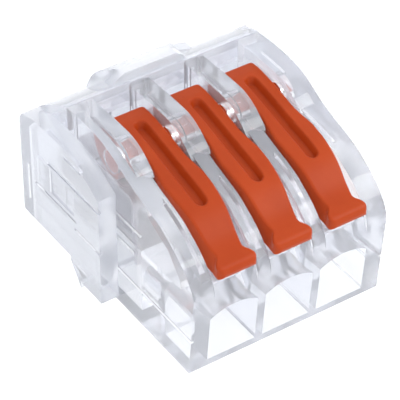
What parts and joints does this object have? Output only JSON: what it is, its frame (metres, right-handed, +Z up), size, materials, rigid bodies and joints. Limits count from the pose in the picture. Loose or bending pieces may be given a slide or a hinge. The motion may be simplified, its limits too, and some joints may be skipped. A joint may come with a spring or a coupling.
{
  "type": "lever wire connector",
  "caption": "Clear lever wire connector: a row of wire entries in front, closed orange levers on top, sprung cage clamps and one shared bus bar inside.",
  "frame": {"origin": "centre of the bounding box of the closed connector, at its underside", "axes": "+X along the row of poles, -Y the side the wires enter, +Z up"},
  "size_m": [0.0208, 0.023, 0.0153],
  "materials": {
    "clear_plastic": "clear moulded polycarbonate, polished",
    "lever_plastic": "orange moulded plastic, satin",
    "spring_steel": "bright stainless strip",
    "tinned_copper": "tin-plated copper, satin"
  },
  "bodies": {
    "housing": {"front_housing": "clear_plastic", "rear_cap": "clear_plastic", "busbar": "tinned_copper", "clamp_1_seat": "spring_steel", "clamp_2_seat": "spring_steel", "clamp_3_seat": "spring_steel"},
    "lever_1": {"lever_1": "lever_plastic"},
    "cage_1": {"clamp_1_cage": "spring_steel"},
    "lever_2": {"lever_2": "lever_plastic"},
    "cage_2": {"clamp_2_cage": "spring_steel"},
    "lever_3": {"lever_3": "lever_plastic"},
    "cage_3": {"clamp_3_cage": "spring_steel"}
  },
  "joints": [
    {"name": "lever_1_turn", "type": "hinge", "parent": "housing", "child": "lever_1", "pos_m": [-0.005, 0.0006, 0.0127], "axis": [-1, 0, 0], "range_deg": [0, 105]},
    {"name": "cage_1_flex", "type": "hinge", "parent": "housing", "child": "cage_1", "pos_m": [-0.005, 0.0058, 0.00797], "axis": [1, 0, 0], "range_deg": [0, 20]},
    {"name": "lever_2_turn", "type": "hinge", "parent": "housing", "child": "lever_2", "pos_m": [0, 0.0006, 0.0127], "axis": [-1, 0, 0], "range_deg": [0, 105]},
    {"name": "cage_2_flex", "type": "hinge", "parent": "housing", "child": "cage_2", "pos_m": [0, 0.0058, 0.00797], "axis": [1, 0, 0], "range_deg": [0, 20]},
    {"name": "lever_3_turn", "type": "hinge", "parent": "housing", "child": "lever_3", "pos_m": [0.005, 0.0006, 0.0127], "axis": [-1, 0, 0], "range_deg": [0, 105]},
    {"name": "cage_3_flex", "type": "hinge", "parent": "housing", "child": "cage_3", "pos_m": [0.005, 0.0058, 0.00797], "axis": [1, 0, 0], "range_deg": [0, 20]}
  ],
  "couplings": [
    {"joint": "cage_1_flex", "follows": "lever_1_turn", "ratio": 0.19048},
    {"joint": "cage_2_flex", "follows": "lever_2_turn", "ratio": 0.19048},
    {"joint": "cage_3_flex", "follows": "lever_3_turn", "ratio": 0.19048}
  ]
}
